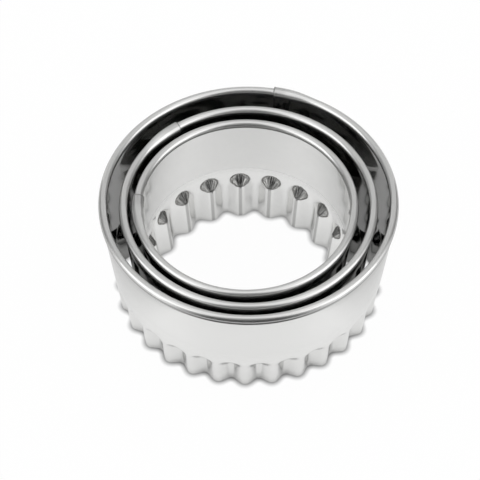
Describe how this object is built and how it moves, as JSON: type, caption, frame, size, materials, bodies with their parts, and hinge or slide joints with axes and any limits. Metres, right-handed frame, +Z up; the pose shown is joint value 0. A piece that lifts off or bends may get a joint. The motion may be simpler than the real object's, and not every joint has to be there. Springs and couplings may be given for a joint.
{
  "type": "fluted ravioli cutter set",
  "caption": "Nest of round ravioli and pastry cutters in bright sheet steel, each a tapered ring with a rolled rim, a lapped welded seam and a fluted cutting edge.",
  "frame": {"origin": "centre of the large cutter's ring, on the surface that the cutting edges stand on", "axes": "+Z up along the rings' axes from the cutting edges to the rims, +X to the right and -Y to the front of the picture"},
  "size_m": [0.08, 0.08, 0.0354],
  "materials": {
    "bright_steel": "bright polished sheet"
  },
  "bodies": {
    "large_cutter": {"large_cutter": "bright_steel"},
    "medium_cutter": {"medium_cutter": "bright_steel"},
    "small_cutter": {"small_cutter": "bright_steel"}
  },
  "joints": [
    {"name": "medium_lift", "type": "slide", "parent": "large_cutter", "child": "medium_cutter", "axis": [0, 0, 1], "range_m": [0, 0.045]},
    {"name": "small_lift", "type": "slide", "parent": "medium_cutter", "child": "small_cutter", "axis": [0, 0, 1], "range_m": [0, 0.045]}
  ]
}
